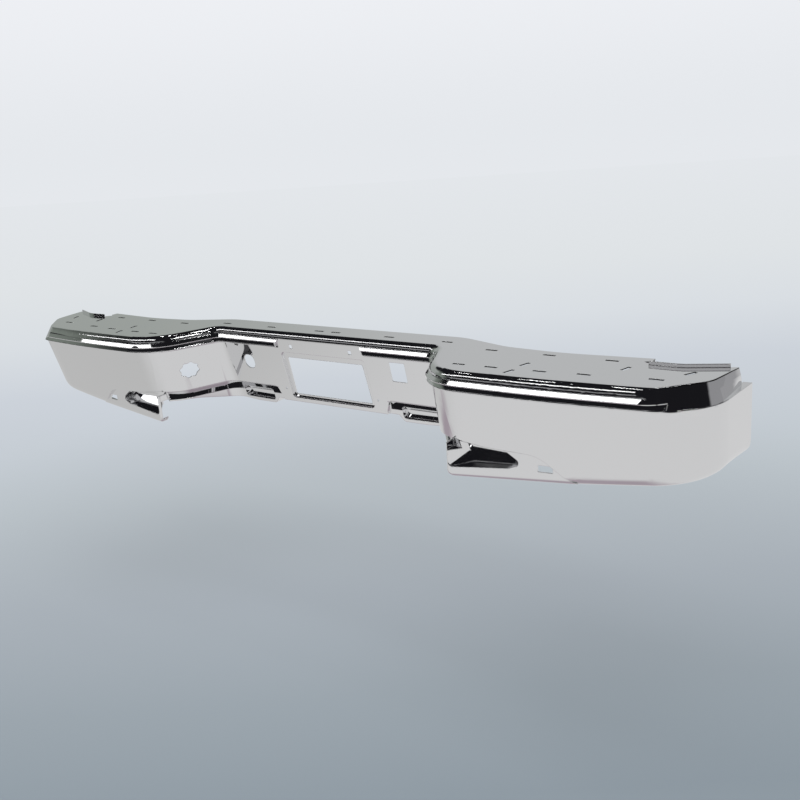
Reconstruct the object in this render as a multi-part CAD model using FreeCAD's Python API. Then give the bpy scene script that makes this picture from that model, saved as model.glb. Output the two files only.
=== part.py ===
# Chrome step bumper for a pickup truck: one pressed sheet-steel face bar.
# X runs along the bar, +Y points at the truck, +Z is up.
# The origin is on the middle plane, level with the tread, in line with the middle row of clip slots.
# The pressing is the difference of two closed forms: the outside one, and the same form
# drawn again one sheet thickness further in. All walls rake forward as they go down.
import FreeCAD
import Part
import math
import os

Vec = FreeCAD.Vector

far_x = 1100.0                 # cutting blocks reach this far past both ends

# Sheet
sheet = 2.0
rake = 0.247                   # forward travel of every wall for each millimetre down

# Plan of the wall at tread level, right half: corners and the bend radius at each
middle_y = -46.9               # wall of the recessed middle
end_y = -216.0                 # wall of the wide step ends
slant_in_x = 327.4             # corner between middle and slant
slant_out_x = 396.0            # corner between slant and step end
crown_x = 650.0                # where the step end starts to bow forward
corner_x = 915.0               # outer corner before rounding
corner_y = -190.0
side_spread = 0.150            # outward travel of the side wall for each millimetre forward
back_y = 90.0                  # closing line of the plan, trimmed off later
inner_bend = 34.0
outer_bend = 106.0
crown_bend = 2500.0
corner_bend = 130.0
facet_slack = 1.3              # the facet slopes, so its sheet needs more than a level inset

# Levels of the forms
form_low = -262.0              # the forms are drawn down to here
tall = -1.15 * form_low        # reach of the cutting blocks
tread_roll = 16.0              # rolled edge between tread and wall

# Raised bead under the tread edge
bead_top = -16.5
bead_low = -40.0
bead_out = 8.5
bead_slope = 7.5
bead_round = 8.0
bead_gap_top = 122.0           # half width of the break above the plate
bead_gap_low = 134.0

# Facet that cuts the outer corner back at tread level: corners, and how they drift down
facet_low = -37.5
facet_corners = [              # X, Y, bend, and the travel of X and Y for each millimetre down
    (700.0, -215.0, 0.0, 0.0, -0.667),
    (826.0, -183.0, 60.0, 0.24, -0.587),
    (905.0, -104.0, 70.0, 0.453, -0.373),
    (956.0, 100.0, 0.0, -0.419, 0.0),
    (700.0, 100.0, 0.0, 0.0, 0.0),
]

# Lower outline of the bar, right half
middle_low = [                 # right half, middle to slant: X, Z, bend
    (186.0, -189.0, 8.0),
    (199.0, -206.0, 10.0),
    (262.0, -206.0, 60.0),
    (340.0, -199.0, 30.0),
    (376.0, -180.0, 30.0),
]
slant_low = -179.0
tip_x = 421.0                  # inner end of the step end's deeper part
tip_low = -251.5
tip_overlap = 70.0             # the middle form reaches this far into the step end
end_lean = 1.0                 # outboard travel of the end wall for each millimetre in
end_run = 60.0                 # the leaning part ends this far in
end_skew = math.hypot(1.0, end_lean)
end_rise = 0.128               # the lower edge climbs outboard
low_roll = 34.0                # the lower edge rolls under
side_roll = 4.0                # and tightens along the side
return_depth = 44.0            # how far the rolled edge reaches in, measured from the wall
middle_return = 34.0
open_top = -60.0               # nothing is left inside the bar below this level

# Front outline of the tread
flange_depth = 9.0             # turned down along the middle and the bays
lip_height = 7.0               # turned up at the two outer ends
step_x = 779.0
front_outline = [              # right half: X, Y, bend radius
    (348.0, 48.0, 120.0),
    (470.0, 3.0, 160.0),
    (600.0, -9.0, 500.0),
    (step_x, 6.0, 0.0),
    (step_x, -37.0, 0.0),
    (838.0, -39.0, 70.0),
    (928.0, -4.0, 0.0),
    (far_x, 4.0, 0.0),
]
lip_end_x = 917.0              # the turned-up lip stops short of the side
relief_y = -22.0               # small notch in the step
relief_size = 12.0

# Side panels
panel_top = -37.5
panel_front_y = 37.0           # at the top edge, raking forward below it
panel_foot_y = -20.0           # the panel's lower edge starts here
panel_low = -186.0
panel_corner = 22.0
panel_top_corner = 4.0
facet_end_rake = 0.55
panel_from_x = 880.0

# Recessed band along the lower edge, right half, and the deep hollows in it
band_depth = 8.0
band_outline = [
    (160.0, -182.0, 8.0),
    (172.0, -151.0, 12.0),
    (340.0, -151.0, 60.0),
    (385.0, -152.0, 60.0),
    (440.0, -148.0, 60.0),
    (500.0, -156.5, 200.0),
    (613.0, -159.0, 60.0),
    (662.0, -200.0, 40.0),
    (692.0, -216.0, 0.0),
    (692.0, -tall, 0.0),
    (160.0, -tall, 0.0),
]
hollow_depth = 20.0
hollow_outline = [
    (425.0, -207.0, 10.0),
    (552.0, -195.0, 12.0),
    (582.0, -184.0, 8.0),
    (548.0, -160.0, 12.0),
    (425.0, -155.0, 6.0),
]
small_hollow_depth = 20.0
small_hollow_outline = [
    (198.0, -198.0, 9.0),
    (300.0, -196.0, 9.0),
    (300.0, -166.0, 9.0),
    (198.0, -166.0, 9.0),
]

# Lower lip of the step end under the hollow: upright, its face coming out towards the tip
lip_tip_y = -187.0
lip_far_y = -158.0
lip_tip_bend = 6.0
lip_roll = 15.0
lip_low = -231.0               # lower edge at the tip
lip_rise = 0.06
lip_return = 22.0              # how far its rolled edge reaches in
lip_outline = [
    (tip_x, -157.0, 0.0),
    (tip_x, -tall, 0.0),
    (692.0, -tall, 0.0),
    (692.0, -216.0, 0.0),
    (662.0, -200.0, 40.0),
    (613.0, -159.0, 60.0),
    (540.0, -157.2, 0.0),
    (535.0, -172.0, 0.0),
    (424.0, -172.0, 0.0),
    (424.0, -157.0, 0.0),
]

# Clip slots in the tread: long side, short side, then where they sit on the right half
slot_length = 25.8
slot_width = 7.0
middle_row_x = 25.1
middle_row_pitch = 152.6
front_row_x = 454.3
front_row_y = -34.0
front_row_pitch = 127.2
front_row_count = 3
rear_row = [(818.0, -128.0), (691.7, -141.0), (608.7, -148.2), (510.9, -152.6), (441.7, -153.7)]
turned_slots = [(862.7, -72.4, 60.0), (749.3, -78.7, 72.0), (564.0, -112.5, 72.0), (555.7, -167.1, 72.0)]

# Holes in the walls
harness_hole = (215.0, -73.5, 41.0, 48.0, 3.0)       # right of the plate: X, Z, width, height, corner
winch_hole = (-242.0, -88.0, 33.0, 37.0, 15.0)       # left of the plate
low_hole_x = 140.8
low_hole_z = -153.5
low_hole_radius = 2.4
sensor_centre = (-365.9, -117.7, -98.7)              # notched hole, square to the left slant
sensor_width = 52.0
sensor_height = 41.0
sensor_notches = 8
notch_share = 0.88
band_slot = (626.0, -187.5, 29.0, 13.0, 1.5)

# Plate recess and its holes
plate_half_width = 127.0
plate_top = -51.5
plate_low = -178.0
plate_corner = 12.0
plate_depth = 6.5
opening_half_top = 112.8
opening_half_low = 117.1
opening_top = -66.4
opening_low = -168.2
plate_bolt_spacing = 177.8
plate_bolt_z = -34.8
plate_bolt_size = 9.5


def turn(first, second):
    return first.x * second.y - first.y * second.x


def offset_corners(corners, distance):
    """Moves every side of a closed outline outward and keeps the bends concentric."""
    count = len(corners)
    moved = []
    for i, (x, y, radius) in enumerate(corners):
        before = corners[i - 1]
        after = corners[(i + 1) % count]
        arriving = Vec(x - before[0], y - before[1], 0).normalize()
        leaving = Vec(after[0] - x, after[1] - y, 0).normalize()
        sine = turn(arriving, leaving)
        reach = distance * math.tan(math.asin(max(-1, min(1, sine))) / 2)
        if arriving.dot(leaving) < 0:
            reach = distance / math.tan(math.asin(sine) / 2)
        outward = Vec(arriving.y, -arriving.x, 0)
        spot = Vec(x, y, 0) + outward * distance + arriving * reach
        bend = max(0.0, radius + (distance if sine > 0 else -distance)) if radius else 0.0
        moved.append((spot.x, spot.y, bend))
    return moved


def rounded_wire(corners, to_space):
    """Closed wire through the corners, each with its own tangent arc."""
    count = len(corners)
    pieces = []
    for i, (x, y, radius) in enumerate(corners):
        spot = Vec(x, y, 0)
        before = Vec(corners[i - 1][0], corners[i - 1][1], 0)
        after = Vec(corners[(i + 1) % count][0], corners[(i + 1) % count][1], 0)
        back = (before - spot).normalize()
        ahead = (after - spot).normalize()
        if radius <= 0:
            pieces.append((spot, None, spot))
            continue
        half = back.getAngle(ahead) / 2
        reach = radius / math.tan(half)
        middle = spot + (back + ahead).normalize() * (radius / math.sin(half) - radius)
        pieces.append((spot + back * reach, middle, spot + ahead * reach))
    edges = []
    for i, (start, middle, finish) in enumerate(pieces):
        if middle is not None:
            arc = Part.Arc(to_space(start), to_space(middle), to_space(finish))
            edges.append(arc.toShape())
        following = pieces[(i + 1) % count][0]
        edges.append(Part.makeLine(to_space(finish), to_space(following)))
    return Part.Wire(edges)


def flat(z):
    return lambda p: Vec(p.x, p.y - rake * z, z)


def upright(y):
    return lambda p: Vec(p.x, y, p.y)


def mirrored(half):
    """Full list of corners from the right half, which starts beside the middle plane."""
    return [(-x, y, r) for x, y, r in reversed(half)] + list(half)


def plan_corners():
    side_back_x = corner_x + side_spread * (back_y - corner_y)
    half = [
        (slant_in_x, middle_y, inner_bend),
        (slant_out_x, end_y, outer_bend),
        (crown_x, end_y, crown_bend),
        (corner_x, corner_y, corner_bend),
        (side_back_x, back_y, 0.0),
    ]
    return mirrored(half)


def hull(offset, top, low):
    """Raked block between two levels, its outline moved outward by the offset."""
    wire = rounded_wire(offset_corners(plan_corners(), offset), flat(top))
    return Part.Face(wire).extrude(Vec(0, rake * (top - low), low - top))


def level_edges(solid, z):
    return [e for e in solid.Edges
            if all(abs(v.Point.z - z) < 0.01 for v in e.Vertexes)
            and abs(e.CenterOfMass.z - z) < 0.01 and e.CenterOfMass.y < back_y / 2]


def upright_prism(corners, y_from, y_to):
    wire = rounded_wire(corners, upright(y_from))
    return Part.Face(wire).extrude(Vec(0, y_to - y_from, 0))


def bead(inset):
    top = bead_top - inset
    low = bead_low + inset
    rib = hull(bead_out - inset, top, low)
    rib = rib.makeChamfer(bead_slope, level_edges(rib, top))
    rib = rib.makeFillet(bead_round - inset, level_edges(rib, low))
    rib = rib.cut(facet_cutter(inset, bead_low - 1.0))
    slope = (bead_gap_low - bead_gap_top) / (bead_top - bead_low)
    gap = [(bead_gap_top + inset - slope * -bead_top, 0.0, 0.0),
           (bead_gap_low + inset + slope * -bead_low, bead_low * 2, 0.0)]
    return rib.cut(upright_prism(mirrored(gap), -tall, tall))


def facet_cutter(inset, low):
    """Everything outside the facet of the outer corner down to a level, on both ends."""
    top = 1.0
    deep = bead_low - 5.0
    wires = []
    for z in (deep, top):
        corners = [(x - z * over, y - z * back, bend) for x, y, bend, over, back in facet_corners]
        wires.append(rounded_wire(offset_corners(corners, -inset * facet_slack), lambda p: Vec(p.x, p.y, z)))
    kept = Part.makeLoft(wires, True, True)
    x_from = facet_corners[0][0] + 2 * inset + 1.0
    block = Part.makeBox(tall, 2 * tall, top - low, Vec(x_from, facet_corners[-1][1] - 2 * tall - 1.0, low))
    return both_sides(block.cut(kept))


def both_sides(shape):
    return Part.makeCompound([shape, shape.mirror(Vec(0, 0, 0), Vec(1, 0, 0))])


def raked_box(x_from, x_to, z_from, z_to):
    return Part.makeBox(x_to - x_from, 4 * tall, z_to - z_from, Vec(x_from, -2 * tall, z_from))


def rolled(body, start, rise, radius, last_radius):
    """Cuts a body off along a line that climbs outboard and rolls that edge under.
    The roll ends with its last radius at the far end of the side."""
    below = [(0.0, form_low * 2, 0.0), (far_x, form_low * 2, 0.0), (far_x, start + rise * far_x, 0.0),
             (0.0, start, 0.0)]
    body = body.cut(upright_prism(below, -2 * tall, 2 * tall))
    radii = []
    for i, edge in enumerate(body.Edges):
        ends = [v.Point for v in edge.Vertexes]
        on_line = all(abs(p.z - start - rise * p.x) < 0.01 for p in ends + [edge.CenterOfMass])
        if on_line and min(p.y for p in ends) < -1.0 and min(p.x for p in ends) > -1.0:
            first, last = [last_radius if p.y > back_y else radius for p in (ends[0], ends[-1])]
            radii.append((i + 1, first, last))
    base = forms.addObject("Part::Feature", "Base")
    base.Shape = body
    roll = forms.addObject("Part::Fillet", "Roll")
    roll.Base = base
    roll.Edges = radii
    forms.recompute()
    return roll.Shape


def outboard(x, low, top):
    """Everything outboard of the end wall, which leans outboard behind the lip."""
    plan = [(x, -2 * tall, 0.0), (far_x, -2 * tall, 0.0), (far_x, tall, 0.0),
            (x + end_lean * end_run, tall, 0.0), (x + end_lean * end_run, lip_tip_y + end_run, 0.0),
            (x, lip_tip_y, 0.0)]
    wire = rounded_wire(plan, lambda p: Vec(p.x, p.y, low))
    return Part.Face(wire).extrude(Vec(0, 0, top - low))


def lip_block(inset, top):
    end_x = lip_outline[2][0]
    x = tip_x - inset
    plan = [(x, lip_tip_y, lip_tip_bend), (end_x, lip_far_y, 0.0), (end_x, 0.0, 0.0), (x, 0.0, 0.0)]
    wire = rounded_wire(offset_corners(plan, -inset), lambda p: Vec(p.x, p.y, top))
    return Part.Face(wire).extrude(Vec(0, 0, form_low - top))


def low_lip(inset):
    """Upright lip under the hollow of the right step end."""
    body = lip_block(inset, 0.0)
    body = rolled(body, lip_low + inset - lip_rise * tip_x, lip_rise, lip_roll - inset, lip_roll - inset)
    outline = [(x - inset if x == tip_x else x, z, bend) for x, z, bend in lip_outline]
    return body.common(upright_prism(offset_corners(outline, -inset), -2 * tall, 2 * tall))


def step_end(back, inset):
    """Right step end, down to its sloping rolled lower edge."""
    body = hull(-back, -inset, form_low)
    body = rolled(body, tip_low + inset - end_rise * tip_x, end_rise, low_roll - inset, side_roll - inset)
    return body.common(outboard(tip_x + end_skew * inset, form_low, 1.0))


def middle(back, inset):
    """Recessed middle and both slants, down to their own lower edge."""
    body = hull(-back, -inset, form_low)
    half = [(x, z + inset, bend) for x, z, bend in middle_low]
    half += [(tip_x + tip_overlap, slant_low + inset, 0.0), (tip_x + tip_overlap, 1.0, 0.0)]
    return body.common(upright_prism(mirrored(half), -2 * tall, 2 * tall))


def blank(back, inset):
    """Plain form before the bead, drawn back from the outside face."""
    end = step_end(back, inset)
    whole = middle(back, inset).fuse([end, end.mirror(Vec(0, 0, 0), Vec(1, 0, 0))])
    return whole.removeSplitter()


def recess(inset, outline, depth):
    """Pressed-in field: an outline in the XZ plane and the depth it is set back."""
    field = upright_prism(offset_corners(outline, inset), -2 * tall, 2 * tall)
    return field.cut(blank(depth + inset, inset))


def plate_outline():
    return [
        (-plate_half_width, plate_low, plate_corner),
        (plate_half_width, plate_low, plate_corner),
        (plate_half_width, plate_top, plate_corner),
        (-plate_half_width, plate_top, plate_corner),
    ]


def form(inset):
    """Closed form of the pressing, drawn in from the outside face by the inset."""
    body = blank(inset, inset)
    body = body.makeFillet(tread_roll - inset, level_edges(body, -inset))
    body = body.cut(facet_cutter(inset, facet_low - inset))
    body = body.fuse(bead(inset))
    body = body.cut(recess(inset, plate_outline(), plate_depth))
    body = body.cut(both_sides(recess(inset, band_outline[::-1], band_depth)))
    body = body.fuse(both_sides(low_lip(inset)).Solids)
    hollow_from = tip_x + end_skew * (sheet - inset)
    hollow = recess(inset, hollow_outline, hollow_depth).common(outboard(hollow_from, form_low, 0.0))
    body = body.cut(both_sides(hollow))
    return body.cut(both_sides(recess(inset, small_hollow_outline, small_hollow_depth)))


def front_region(shift, low, top, lean):
    """Everything in front of the tread's front outline between two levels."""
    half = list(front_outline) + [(far_x, 3 * tall, 0.0)]
    corners = mirrored(half)
    wire = rounded_wire(corners, lambda p: Vec(p.x, p.y + shift - lean * top, top))
    return Part.Face(wire).extrude(Vec(0, lean * (top - low), low - top))


def trimmed(shell):
    """Opens the closed shell: front, underside and the free edges of the side panels."""
    base = form_low - 5 * return_depth / 4
    front = Part.makeBox(2 * far_x, tall, 2 * tall, Vec(-far_x, back_y - 5 * sheet, -1.5 * tall))
    shell = shell.cut(front)
    shell = shell.cut(hull(-return_depth, open_top, base))
    inner_span = raked_box(sheet / 2 - tip_x, tip_x - sheet / 2, base, open_top)
    shell = shell.cut(hull(-middle_return - sheet, open_top, base).common(inner_span))
    behind_lip = lip_block(lip_return, lip_low + lip_return).common(raked_box(tip_x, far_x, base, panel_top))
    shell = shell.cut(both_sides(behind_lip))
    shell = shell.cut(front_region(0.0, panel_top, 1.0, facet_end_rake))
    rake_back = rake * (panel_top - panel_low)
    keep = [(-tall, base, 0.0), (panel_foot_y - return_depth, base, 0.0), (panel_foot_y, panel_low, 0.0),
            (panel_front_y + rake_back, panel_low, panel_corner),
            (panel_front_y, panel_top, panel_top_corner), (-tall, panel_top, 0.0)]
    wire = rounded_wire(keep, lambda p: Vec(panel_from_x, p.x, p.y))
    kept = Part.Face(wire).extrude(Vec(tall, 0, 0))
    zone = Part.makeBox(tall, tall, panel_top - form_low, Vec(panel_from_x, panel_foot_y, form_low))
    return shell.cut(both_sides(zone.cut(kept)))


def lips():
    """Turned-down front flange of the tread and the turned-up lips at its ends."""
    down = front_region(-sheet, -flange_depth, 0.0, 0.0).cut(front_region(0.0, -flange_depth, 0.0, 0.0))
    down = down.common(raked_box(-step_x, step_x, -flange_depth, 0.0))
    up = front_region(-sheet, -sheet, lip_height, 0.0).cut(front_region(0.0, -sheet, lip_height, 0.0))
    up = up.common(both_sides(raked_box(step_x, lip_end_x, -sheet, lip_height)))
    return [down, up]


def tread_slots():
    places = [(middle_row_x + middle_row_pitch * i, 0.0, 0.0) for i in range(3)]
    places += [(front_row_x + front_row_pitch * i, front_row_y, 0.0) for i in range(front_row_count)]
    places += [(x, y, 0.0) for x, y in rear_row]
    places += turned_slots
    cutters = []
    for x, y, angle in places:
        slot = Part.makeBox(slot_length, slot_width, 4 * sheet,
                            Vec(-slot_length / 2, -slot_width / 2, -2.5 * sheet))
        slot.rotate(Vec(0, 0, 0), Vec(0, 0, 1), angle)
        slot.translate(Vec(x, y, 0))
        cutters.append(slot)
    relief = [(step_x + sheet, relief_y - relief_size, 0.0), (step_x + sheet, relief_y + relief_size, 0.0),
              (step_x - relief_size, relief_y, 0.0)]
    wire = rounded_wire(relief, lambda p: Vec(p.x, p.y, sheet))
    cutters.append(Part.Face(wire).extrude(Vec(0, 0, -3 * sheet)))
    return both_sides(Part.makeCompound(cutters))


def box_outline(x, z, width, height, corner):
    return [(x - width / 2, z - height / 2, corner), (x + width / 2, z - height / 2, corner),
            (x + width / 2, z + height / 2, corner), (x - width / 2, z + height / 2, corner)]


def sensor_hole():
    """Notched oval pierced square to the left slant."""
    along = Vec(slant_in_x - slant_out_x, end_y - middle_y, 0).normalize()
    square = Vec(-along.y, along.x, 0)
    centre = Vec(*sensor_centre)
    points = []
    for i in range(4 * sensor_notches):
        angle = 2 * math.pi * (i + 0.5) / (4 * sensor_notches)
        share = 1.0 if i % 4 < 2 else notch_share
        points.append(centre + along * (share * sensor_width / 2 * math.cos(angle)) - square * bead_out
                      + Vec(0, 0, share * sensor_height / 2 * math.sin(angle)))
    wire = Part.makePolygon(points + points[:1])
    hole = Part.Face(wire).extrude(square * 4 * bead_out)
    hole.translate(square * -bead_out)
    return hole


def wall_holes():
    opening = [(-opening_half_low, opening_low, 3.0), (opening_half_low, opening_low, 3.0),
               (opening_half_top, opening_top, 3.0), (-opening_half_top, opening_top, 3.0)]
    cutters = [upright_prism(opening, -tall, tall)]
    for hole in (harness_hole, winch_hole):
        cutters.append(upright_prism(box_outline(*hole), -tall, tall))
    for side in (-1, 1):
        square = box_outline(side * plate_bolt_spacing / 2, plate_bolt_z, plate_bolt_size, plate_bolt_size, 0.5)
        cutters.append(upright_prism(square, -tall, tall))
        drill = Part.makeCylinder(low_hole_radius, 2 * tall, Vec(side * low_hole_x, -tall, low_hole_z),
                                  Vec(0, 1, 0))
        cutters.append(drill)
        slot = list(band_slot)
        slot[0] *= side
        cutters.append(upright_prism(box_outline(*slot), -tall, tall))
    cutters.append(sensor_hole())
    return Part.makeCompound(cutters)


forms = FreeCAD.newDocument("forms")
outer = form(0.0)
inner = form(sheet)
shell = outer.cut(inner)
bar = trimmed(shell)
bar = bar.fuse(lips())
bar = bar.cut(tread_slots())
bar = bar.cut(wall_holes())
os.makedirs("parts", exist_ok=True)
bar.exportStep("parts/face_bar.step")
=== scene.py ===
import math

import bpy
from mathutils import Matrix, Vector


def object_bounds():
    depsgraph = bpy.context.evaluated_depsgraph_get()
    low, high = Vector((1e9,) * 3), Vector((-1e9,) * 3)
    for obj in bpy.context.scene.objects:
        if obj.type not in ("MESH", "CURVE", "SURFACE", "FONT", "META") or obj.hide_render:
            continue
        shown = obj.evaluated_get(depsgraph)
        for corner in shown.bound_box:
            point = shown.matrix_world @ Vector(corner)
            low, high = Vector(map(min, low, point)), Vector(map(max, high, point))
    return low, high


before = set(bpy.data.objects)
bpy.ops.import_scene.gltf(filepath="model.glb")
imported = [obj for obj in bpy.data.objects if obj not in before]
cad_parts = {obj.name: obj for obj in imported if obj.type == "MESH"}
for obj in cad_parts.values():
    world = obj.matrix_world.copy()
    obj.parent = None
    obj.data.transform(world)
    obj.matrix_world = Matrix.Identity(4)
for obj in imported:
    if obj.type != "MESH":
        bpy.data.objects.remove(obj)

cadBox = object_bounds()
print("frame loaded, CAD box", cadBox)


# small helpers for shader nodes


class Port:
    # wraps one socket, so that maths on it is written as an expression
    def __init__(self, tree, socket):
        self.tree = tree
        self.socket = socket

    def math(self, operation, other, swapped=False):
        first, second = (other, self) if swapped else (self, other)
        return self.tree.node("ShaderNodeMath", {"operation": operation}, {0: first, 1: second})

    def __add__(self, other):
        return self.math("ADD", other)

    def __radd__(self, other):
        return self.math("ADD", other, True)

    def __sub__(self, other):
        return self.math("SUBTRACT", other)

    def __rsub__(self, other):
        return self.math("SUBTRACT", other, True)

    def __mul__(self, other):
        return self.math("MULTIPLY", other)

    def __rmul__(self, other):
        return self.math("MULTIPLY", other, True)


class Tree:
    def __init__(self, owner):
        owner.use_nodes = True
        self.tree = owner.node_tree
        self.tree.nodes.clear()

    def node(self, kind, settings=None, values=None, output=0):
        made = self.tree.nodes.new(kind)
        for name, value in (settings or {}).items():
            setattr(made, name, value)
        for name, value in (values or {}).items():
            if isinstance(value, Port):
                self.tree.links.new(value.socket, made.inputs[name])
            else:
                made.inputs[name].default_value = value
        return Port(self, made.outputs[output]) if len(made.outputs) else None

    def ramp(self, factor, stops):
        made = self.tree.nodes.new("ShaderNodeValToRGB")
        self.tree.links.new(factor.socket, made.inputs[0])
        ramp = made.color_ramp
        while len(ramp.elements) < len(stops):
            ramp.elements.new(0.5)
        for stop, (place, colour) in zip(ramp.elements, stops):
            stop.position = place
            stop.color = colour
        return Port(self, made.outputs[0])


def softMask(tree, value, low, high):
    return tree.node("ShaderNodeMapRange", {"interpolation_type": "SMOOTHSTEP"},
                     {0: value, 1: low, 2: high, 3: 0.0, 4: 1.0})


# chrome
chromeLook = {
    "plate": (0.82, 0.822, 0.83, 1.0),
    "back": (0.10, 0.10, 0.105, 1.0),
    # painted shade: near-black colour for the slot walls and upright sheet edges
    "paintedRimShade": (0.03, 0.028, 0.026, 1.0),
    "polish": 0.03,
    "smear": 0.05,
    "backRoughness": 0.34,
    "smearScale": 9.0,
    "waveScale": 3.2,
    "waveDepth": 0.0007,
    "sheet": 0.002,
    "edgeRadius": 0.0022,
    "bandFrom": 0.168,
    "bandTo": 0.418,
    "bandLow": -0.176,
    "bandTop": -0.154,
    "bandTilt": 0.85,
    "beadFrom": 0.130,
    "beadTo": 0.85,
    "beadLow": -0.0405,
    "beadTop": -0.0250,
    "beadTilt": 0.9,
}


def between(tree, value, low, high, soft):
    return softMask(tree, value, low - soft, low + soft) * (1.0 - softMask(tree, value, high - soft, high + soft))


def makeChrome(look):
    material = bpy.data.materials.new("chromePlate")
    tree = Tree(material)
    place = tree.node("ShaderNodeTexCoord", output=3)
    normal = tree.node("ShaderNodeNewGeometry", output=3)
    across = tree.node("ShaderNodeSeparateXYZ", None, {0: place})
    level = tree.node("ShaderNodeSeparateXYZ", None, {0: place}, output=2)
    facing = tree.node("ShaderNodeSeparateXYZ", None, {0: normal}, output=1)
    facingUp = tree.node("ShaderNodeSeparateXYZ", None, {0: normal}, output=2)
    upright = 1.0 - softMask(tree, tree.node("ShaderNodeMath", {"operation": "ABSOLUTE"}, {0: facingUp}), 0.45, 0.55)

    inside = softMask(tree, facing, 0.12, 0.3)
    under = softMask(tree, facingUp * -1.0, 0.75, 0.9) * softMask(tree, level, -0.03, -0.01)
    hidden = tree.node("ShaderNodeMath", {"operation": "MAXIMUM"}, {0: inside, 1: under})
    # painted shade: the upright sheet edges in the top 2 mm, slot walls included, are coloured near black
    rimShadeMask = between(tree, level, -look["sheet"], 0.0, 0.0002) * upright
    colour = tree.node("ShaderNodeMix", {"data_type": "RGBA"}, {
        0: hidden, 6: look["plate"], 7: look["back"]}, output=2)
    colour = tree.node("ShaderNodeMix", {"data_type": "RGBA"}, {
        0: rimShadeMask, 6: colour, 7: look["paintedRimShade"]}, output=2)

    smears = tree.node("ShaderNodeTexNoise", None, {"Vector": place, "Scale": look["smearScale"], "Detail": 4.0})
    roughness = (softMask(tree, smears, 0.45, 0.75) * look["smear"] + look["polish"]) * (1.0 - hidden) \
        + hidden * look["backRoughness"]

    waves = tree.node("ShaderNodeTexNoise", None, {"Vector": place, "Scale": look["waveScale"], "Detail": 1.0})
    side = tree.node("ShaderNodeMath", {"operation": "ABSOLUTE"}, {0: across})
    band = between(tree, side, look["bandFrom"], look["bandTo"], 0.002) \
        * between(tree, level, look["bandLow"], look["bandTop"], 0.001) * upright
    bead = between(tree, side, look["beadFrom"], look["beadTo"], 0.002) \
        * between(tree, level, look["beadLow"], look["beadTop"], 0.0005)
    height = waves * look["waveDepth"] - band * (level - look["bandLow"]) * look["bandTilt"] \
        - bead * (level - look["beadLow"]) * look["beadTilt"]
    edges = tree.node("ShaderNodeBevel", {"samples": 4}, {"Radius": look["edgeRadius"]})
    bump = tree.node("ShaderNodeBump", None, {"Strength": 1.0, "Distance": 1.0, "Height": height, "Normal": edges})
    shader = tree.node("ShaderNodeBsdfPrincipled", None, {
        "Base Color": colour, "Metallic": 1.0, "Roughness": roughness, "Normal": bump})
    tree.node("ShaderNodeOutputMaterial", None, {0: shader})
    return material


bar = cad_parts["face_bar"]
bar.data.materials.clear()
bar.data.materials.append(makeChrome(chromeLook))
print("chrome on the bar")


# floor and room
stageLook = {
    "floorDrop": 0.55,
    "size": 60.0,
    "viewTurn": 33.6,
    "viewFoot": (1.18, -1.48),
    "viewHeight": 1.19,
    "tones": [
        (0.000, (0.783, 0.807, 0.840, 1.0)),
        (0.146, (0.738, 0.768, 0.791, 1.0)),
        (0.213, (0.694, 0.730, 0.768, 1.0)),
        (0.283, (0.604, 0.645, 0.701, 1.0)),
        (0.433, (0.521, 0.571, 0.610, 1.0)),
        (0.596, (0.429, 0.474, 0.521, 1.0)),
        (0.773, (0.352, 0.402, 0.445, 1.0)),
        (0.970, (0.296, 0.347, 0.392, 1.0)),
    ],
    "paleFloor": (0.70, 0.700, 0.702, 1.0),
    "leftFloor": (0.57, 0.570, 0.565, 1.0),
    # painted shadow: darker purplish floor tone seen in the chrome below the bar
    "floorShadowTone": (0.40, 0.345, 0.385, 1.0),
    "farFloor": (0.34, 0.34, 0.35, 1.0),
    "darkFloor": (0.02, 0.02, 0.022, 1.0),
    "paleFrom": 3.0,
    "paleTo": 5.0,
    "shadowShare": 0.35,
    "shadowFrom": 0.9,
    "shadowTo": 2.4,
}
roomLook = {
    "skyLow": (0.783, 0.807, 0.840, 1.0),
    "skyTop": (0.855, 0.870, 0.905, 1.0),
    "screen": (0.52, 0.53, 0.535, 1.0),
    "leftScreen": (0.36, 0.385, 0.365, 1.0),
    "rightScreen": (0.30, 0.30, 0.31, 1.0),
    "leftRoom": (0.20, 0.225, 0.20, 1.0),
    "frontRoom": (0.42, 0.42, 0.43, 1.0),
    "dark": (0.010, 0.010, 0.012, 1.0),
    "screenTop": (0.47, 0.39),
    "screenSide": (-0.15, 0.15),
}


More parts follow.
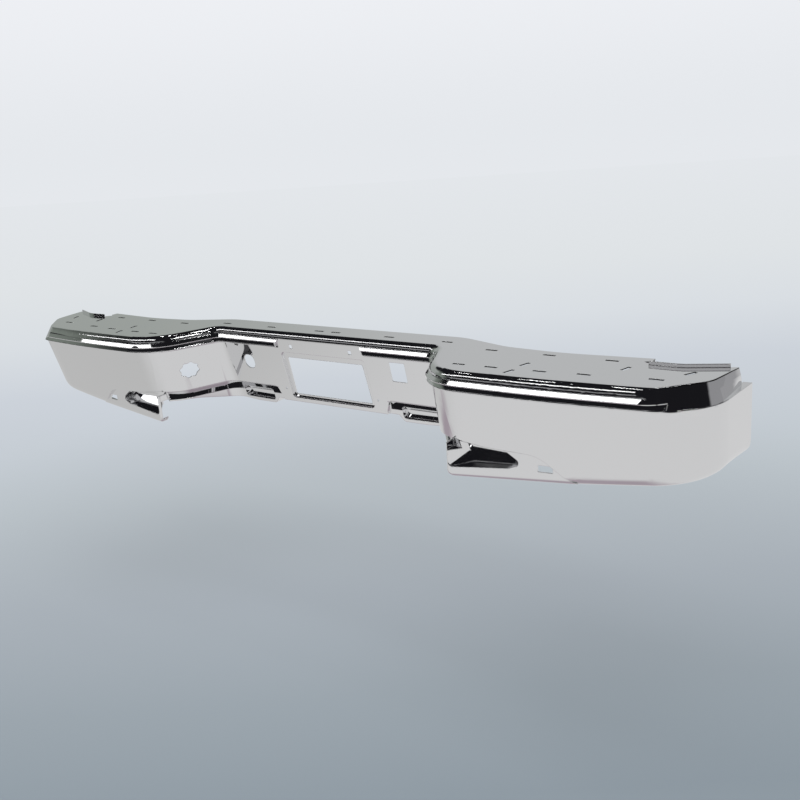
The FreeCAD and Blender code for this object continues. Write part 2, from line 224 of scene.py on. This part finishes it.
def makeFloor(look):
    material = bpy.data.materials.new("paleFloor")
    tree = Tree(material)
    path = tree.node("ShaderNodeLightPath")
    place = tree.node("ShaderNodeTexCoord", output=3)
    ahead = tree.node("ShaderNodeSeparateXYZ", None, {0: place}, output=1)
    slope = tree.node("ShaderNodeMath", {"operation": "DIVIDE", "use_clamp": True},
                      {0: look["viewHeight"], 1: tree.node("ShaderNodeMath", {"operation": "MAXIMUM"},
                                                           {0: ahead, 1: 0.2})})
    tone = tree.ramp(slope, look["tones"])
    world = tree.node("ShaderNodeNewGeometry")
    spread = tree.node("ShaderNodeVectorMath", {"operation": "LENGTH"}, {0: world}, output=1)
    leftward = tree.node("ShaderNodeSeparateXYZ", None, {0: world}) * -1.0
    outFront = tree.node("ShaderNodeSeparateXYZ", None, {0: world}, output=1) * -1.0
    pale = tree.node("ShaderNodeMix", {"data_type": "RGBA"}, {
        0: softMask(tree, leftward, 0.0, 1.4), 6: look["paleFloor"], 7: look["leftFloor"]}, output=2)
    # painted shadow: for glossy rays the floor below the bar turns darker and purplish, standing in for the bar's
    # shadow
    under = (1.0 - softMask(tree, outFront, 0.15, 0.5)) * softMask(tree, outFront, -0.6, -0.1) \
        * between(tree, leftward, -0.85, 0.85, 0.15)
    near = tree.node("ShaderNodeMix", {"data_type": "RGBA"}, {0: under, 6: pale, 7: look["floorShadowTone"]}, output=2)
    far = tree.node("ShaderNodeMix", {"data_type": "RGBA"}, {
        0: softMask(tree, outFront, -0.5, 0.5), 6: look["farFloor"], 7: look["darkFloor"]}, output=2)
    mirrored = tree.node("ShaderNodeMix", {"data_type": "RGBA"}, {
        0: softMask(tree, spread, look["paleFrom"], look["paleTo"]), 6: near, 7: far}, output=2)
    matt = tree.node("ShaderNodeBsdfDiffuse", None, {"Color": tone})
    even = tree.node("ShaderNodeEmission", None, {"Color": tone})
    share = (1.0 - softMask(tree, spread, look["shadowFrom"], look["shadowTo"])) * look["shadowShare"]
    seen = tree.node("ShaderNodeMixShader", None, {0: share, 1: even, 2: matt})
    glow = tree.node("ShaderNodeEmission", None, {"Color": mirrored})
    glossy = Port(tree, path.socket.node.outputs["Is Glossy Ray"])
    shader = tree.node("ShaderNodeMixShader", None, {0: glossy, 1: seen, 2: glow})
    tree.node("ShaderNodeOutputMaterial", None, {0: shader})
    return material


bpy.ops.object.select_all(action="DESELECT")
floorHeight = cadBox[0][2] - stageLook["floorDrop"]
bpy.ops.mesh.primitive_plane_add(size=stageLook["size"], location=(*stageLook["viewFoot"], floorHeight),
                                 rotation=(0, 0, math.radians(stageLook["viewTurn"])))
floor = bpy.context.object
floor.name = "floor"
floor.data.materials.append(makeFloor(stageLook))
print("floor")


def makeRoom(look):
    world = bpy.data.worlds.new("studio")
    bpy.context.scene.world = world
    tree = Tree(world)
    direction = tree.node("ShaderNodeTexCoord")
    height = tree.node("ShaderNodeSeparateXYZ", None, {0: direction}, output=2)
    forward = tree.node("ShaderNodeSeparateXYZ", None, {0: direction}, output=1)
    rightward = tree.node("ShaderNodeSeparateXYZ", None, {0: direction})
    seen = tree.node("ShaderNodeMix", {"data_type": "RGBA"}, {
        0: softMask(tree, height, 0.0, 0.2), 6: look["skyLow"], 7: look["skyTop"]}, output=2)
    screen = softMask(tree, forward, *look["screenSide"]) * (1.0 - softMask(tree, height, *look["screenTop"][::-1]))
    toLeft = rightward * -1.0
    blend = [(softMask(tree, toLeft, 0.45, 0.8), "leftScreen"), (softMask(tree, rightward, 0.25, 0.6), "rightScreen")]
    screenTone = look["screen"]
    for share, name in blend:
        screenTone = tree.node("ShaderNodeMix", {"data_type": "RGBA"}, {
            0: share, 6: screenTone, 7: look[name]}, output=2)
    low = between(tree, height, 0.20, 0.33, 0.03)
    rightSide = softMask(tree, forward, 0.1, 0.3) * softMask(tree, rightward, 0.4, 0.6)
    walls = [(softMask(tree, forward * -1.0, 0.5, 0.8) * low, "frontRoom"),
             (softMask(tree, toLeft, 0.75, 0.92), "leftRoom"), (rightSide, "rightScreen")]
    room = look["dark"]
    for share, name in walls:
        room = tree.node("ShaderNodeMix", {"data_type": "RGBA"}, {0: share, 6: room, 7: look[name]}, output=2)
    mirrored = tree.node("ShaderNodeMix", {"data_type": "RGBA"}, {0: screen, 6: room, 7: screenTone}, output=2)
    camera = tree.node("ShaderNodeLightPath")
    colour = tree.node("ShaderNodeMix", {"data_type": "RGBA"}, {0: camera, 6: mirrored, 7: seen}, output=2)
    sky = tree.node("ShaderNodeBackground", None, {0: colour})
    tree.node("ShaderNodeOutputWorld", None, {0: sky})


makeRoom(roomLook)
print("room")


# lamps: a long strip for the bead, a few small ones for the rolled edges, a soft one for the floor
def areaLamp(name, place, turn, size, power, inMirror=True):
    data = bpy.data.lights.new(name, "AREA")
    data.shape = "RECTANGLE"
    data.size, data.size_y = size
    data.energy = power
    lamp = bpy.data.objects.new(name, data)
    bpy.context.collection.objects.link(lamp)
    lamp.location = place
    lamp.rotation_euler = [math.radians(angle) for angle in turn]
    lamp.visible_glossy = inMirror


areaLamp("stripLamp", (-3.2, -2.3, 3.3), (0, 0, 0), (7.2, 0.6), 32)
for i in range(5):
    areaLamp("ceilingLamp", (-1.6 + 0.8 * i, 0.9, 3.6), (0, 0, 0), (0.35, 0.10), 1.2)
for i in range(3):
    areaLamp("sideLamp", (3.0, -0.9 + 0.45 * i, 2.2 + 0.15 * i), (0, 55, 0), (0.16, 0.22), 1.5)
areaLamp("softLamp", (0.4, -1.2, 3.6), (0, 0, 0), (3.0, 3.0), 150, False)
print("lamps")


# camera, at the photograph's angle
cameraPlace = {
    "place": (1.1805, -1.4822, 0.4133),
    "turn": 0.5862,
    "down": 0.3062,
    "roll": -0.0652,
    "lens": 36.0,
}


def addCamera(look):
    turn, down, roll = look["turn"], look["down"], look["roll"]
    back = Vector((math.sin(turn) * math.cos(down), -math.cos(turn) * math.cos(down), math.sin(down)))
    right = Vector((math.cos(turn), math.sin(turn), 0.0))
    up = back.cross(right)
    rolledRight = right * math.cos(roll) + up * math.sin(roll)
    rolledUp = up * math.cos(roll) - right * math.sin(roll)
    data = bpy.data.cameras.new("camera")
    data.lens = look["lens"]
    data.sensor_width = 36.0
    camera = bpy.data.objects.new("camera", data)
    bpy.context.collection.objects.link(camera)
    turned = Matrix((rolledRight, rolledUp, back)).transposed().to_4x4()
    camera.matrix_world = Matrix.Translation(look["place"]) @ turned
    bpy.context.scene.camera = camera


addCamera(cameraPlace)
bpy.context.scene.view_settings.view_transform = "Standard"
print("camera set")
